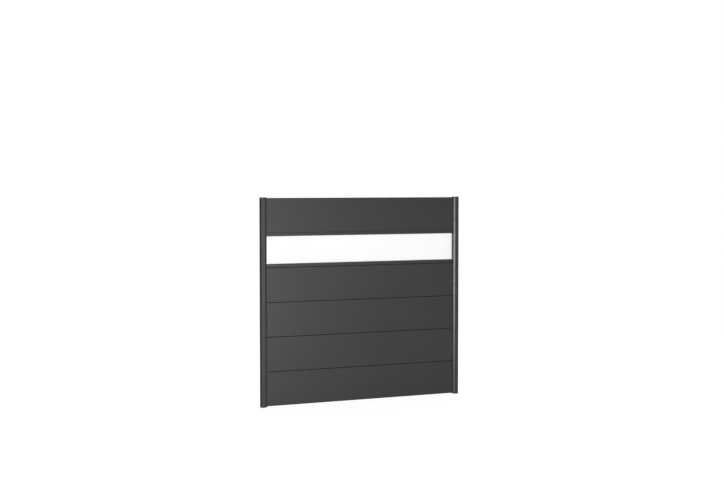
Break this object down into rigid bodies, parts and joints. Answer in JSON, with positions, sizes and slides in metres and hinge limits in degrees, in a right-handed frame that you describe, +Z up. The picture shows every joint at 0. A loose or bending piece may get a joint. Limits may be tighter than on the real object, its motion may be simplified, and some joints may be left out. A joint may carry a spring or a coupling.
{
  "type": "metal privacy screen",
  "caption": "Garden privacy screen bay of wide horizontal metal boards with shadow gaps and a satin glass strip below the top board, held between two slim clamp posts.",
  "frame": {"origin": "middle of the left post's foot, on its lower face", "axes": "+X along the screen to the right post, front face looks along -Y, +Z up"},
  "size_m": [1.91, 0.048, 1.81],
  "materials": {
    "coat": "fine matt anthracite powder coat",
    "satin_glass": "satin white",
    "rubber_seal": "matt black",
    "support_block": "matt black"
  },
  "bodies": {
    "root": {"left_post": "coat", "left_foot_plate": "coat", "left_post_cap": "coat", "left_board_support": "support_block", "left_front_clamp": "coat", "left_rear_clamp": "coat", "left_front_seal": "rubber_seal", "left_rear_seal": "rubber_seal", "right_post": "coat", "right_foot_plate": "coat", "right_post_cap": "coat", "right_board_support": "support_block", "right_front_clamp": "coat", "right_rear_clamp": "coat", "right_front_seal": "rubber_seal", "right_rear_seal": "rubber_seal", "bottom_closer": "coat", "board_1": "coat", "board_2": "coat", "board_3": "coat", "board_4": "coat", "lower_glass_rail": "coat", "left_glass_bar": "coat", "right_glass_bar": "coat", "upper_glass_rail": "coat", "glass_pane": "satin_glass", "lower_glass_gasket": "rubber_seal", "upper_glass_gasket": "rubber_seal", "left_glass_gasket": "rubber_seal", "right_glass_gasket": "rubber_seal", "top_board": "coat", "top_cover": "coat"}
  },
  "joints": []
}
